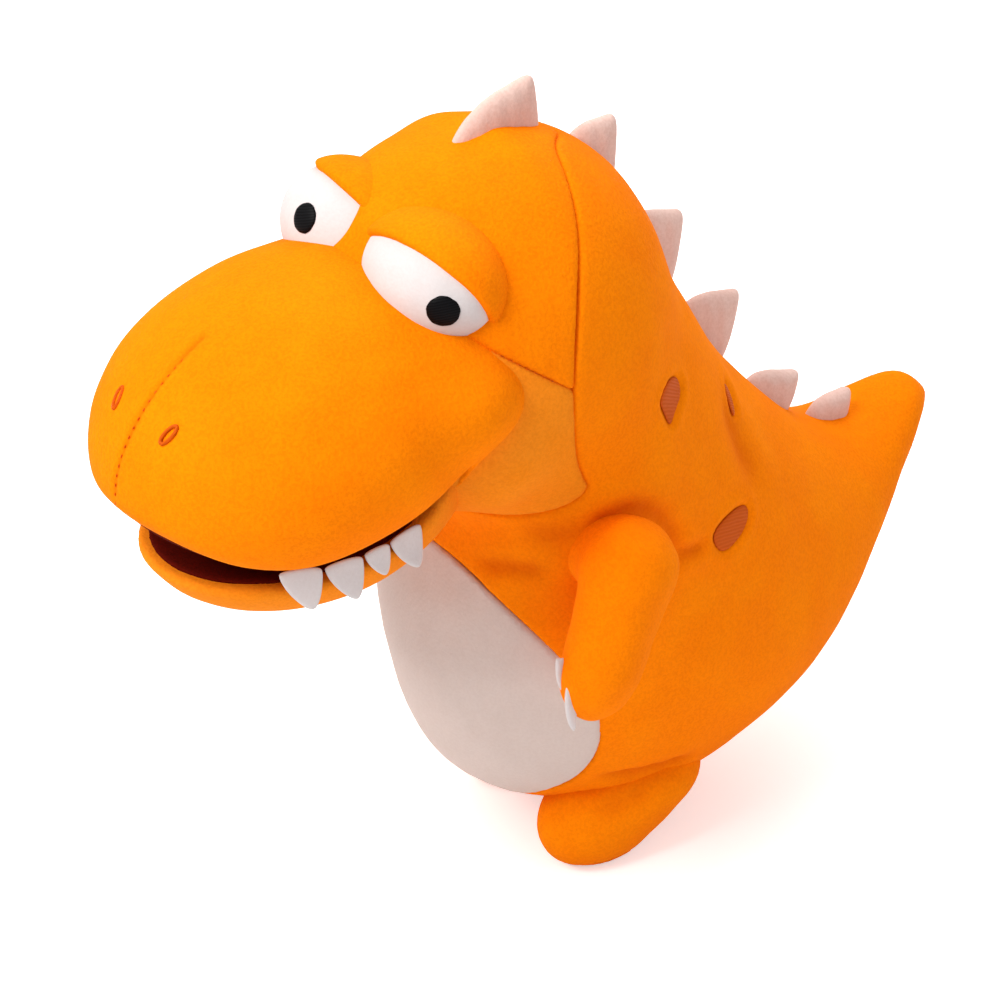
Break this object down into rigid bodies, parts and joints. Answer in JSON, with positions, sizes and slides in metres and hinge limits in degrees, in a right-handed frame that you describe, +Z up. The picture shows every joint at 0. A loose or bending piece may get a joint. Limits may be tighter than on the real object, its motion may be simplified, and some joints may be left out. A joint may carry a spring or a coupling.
{
  "type": "stuffed toy dinosaur",
  "caption": "Plush standing dinosaur with a big rounded snout, nodding head, opening jaw, small swinging arms and feet, back spikes and a wagging tail.",
  "frame": {"origin": "on the floor midway between the soles, under the middle of the toy's box", "axes": "+Z is up, the nose points to -Y, the tail to +Y, and the toy's left side is +X"},
  "size_m": [0.1858, 0.3818, 0.3195],
  "materials": {
    "orange_plush": "matte",
    "brushed_orange_plush": "matte",
    "pale_plush": "matte",
    "pale_felt": "matte",
    "white_felt": "matte",
    "dark_red_felt": "matte",
    "black_thread": "satin",
    "brown_thread": "satin",
    "stuffing": "matte",
    "pellets": "matte"
  },
  "bodies": {
    "torso": {"back_left": "orange_plush", "back_right": "orange_plush", "belly_panel": "pale_plush", "body_stuffing": "stuffing", "pellet_bag": "pellets", "spike_neck": "pale_felt", "spike_shoulder": "pale_felt", "spike_back": "pale_felt", "spike_rump": "pale_felt", "spot_shoulder_left": "brown_thread", "spot_shoulder_right": "brown_thread", "spot_back_left": "brown_thread", "spot_back_right": "brown_thread", "spot_flank_left": "brown_thread", "spot_flank_right": "brown_thread"},
    "head": {"snout_left": "orange_plush", "snout_right": "orange_plush", "crown_left": "orange_plush", "crown_right": "orange_plush", "cheek_left": "brushed_orange_plush", "cheek_right": "brushed_orange_plush", "mouth_lining": "dark_red_felt", "head_stuffing": "stuffing", "eye_left": "white_felt", "eye_right": "white_felt", "eyelid_left": "orange_plush", "eyelid_right": "orange_plush", "pupil_left": "black_thread", "pupil_right": "black_thread", "nostril_left": "brown_thread", "nostril_right": "brown_thread", "teeth_left": "white_felt", "teeth_right": "white_felt", "spike_crown": "pale_felt"},
    "jaw": {"jaw_cover": "orange_plush", "jaw_lining": "dark_red_felt", "jaw_stuffing": "stuffing"},
    "tail": {"tail_left": "orange_plush", "tail_right": "orange_plush", "tail_stuffing": "stuffing", "spike_tail": "pale_felt"},
    "arm_left": {"arm_outer_left": "orange_plush", "arm_inner_left": "orange_plush", "arm_stuffing_left": "stuffing", "claws_left": "pale_felt"},
    "arm_right": {"arm_outer_right": "orange_plush", "arm_inner_right": "orange_plush", "arm_stuffing_right": "stuffing", "claws_right": "pale_felt"},
    "leg_left": {"leg_cover_left": "orange_plush", "sole_left": "orange_plush", "leg_stuffing_left": "stuffing"},
    "leg_right": {"leg_cover_right": "orange_plush", "sole_right": "orange_plush", "leg_stuffing_right": "stuffing"}
  },
  "joints": [
    {"name": "head_nod", "type": "hinge", "parent": "torso", "child": "head", "pos_m": [0, -0.04, 0.237], "axis": [1, 0, 0], "range_deg": [-6, 5]},
    {"name": "jaw_hinge", "type": "hinge", "parent": "head", "child": "jaw", "pos_m": [0, -0.086, 0.204], "axis": [1, 0, 0], "range_deg": [-5, 7]},
    {"name": "tail_wag", "type": "hinge", "parent": "torso", "child": "tail", "pos_m": [0, 0.118, 0.09], "axis": [0, 0, 1], "range_deg": [-12, 12]},
    {"name": "arm_left_swing", "type": "hinge", "parent": "torso", "child": "arm_left", "pos_m": [0.0712, -0.029, 0.16], "axis": [1, 0, 0], "range_deg": [-55, 30]},
    {"name": "arm_right_swing", "type": "hinge", "parent": "torso", "child": "arm_right", "pos_m": [-0.0712, -0.029, 0.16], "axis": [1, 0, 0], "range_deg": [-55, 30]},
    {"name": "leg_left_swing", "type": "hinge", "parent": "torso", "child": "leg_left", "pos_m": [0.038, 0.04, 0.03], "axis": [1, 0, 0], "range_deg": [0, 25]},
    {"name": "leg_right_swing", "type": "hinge", "parent": "torso", "child": "leg_right", "pos_m": [-0.038, 0.04, 0.03], "axis": [1, 0, 0], "range_deg": [0, 25]}
  ]
}
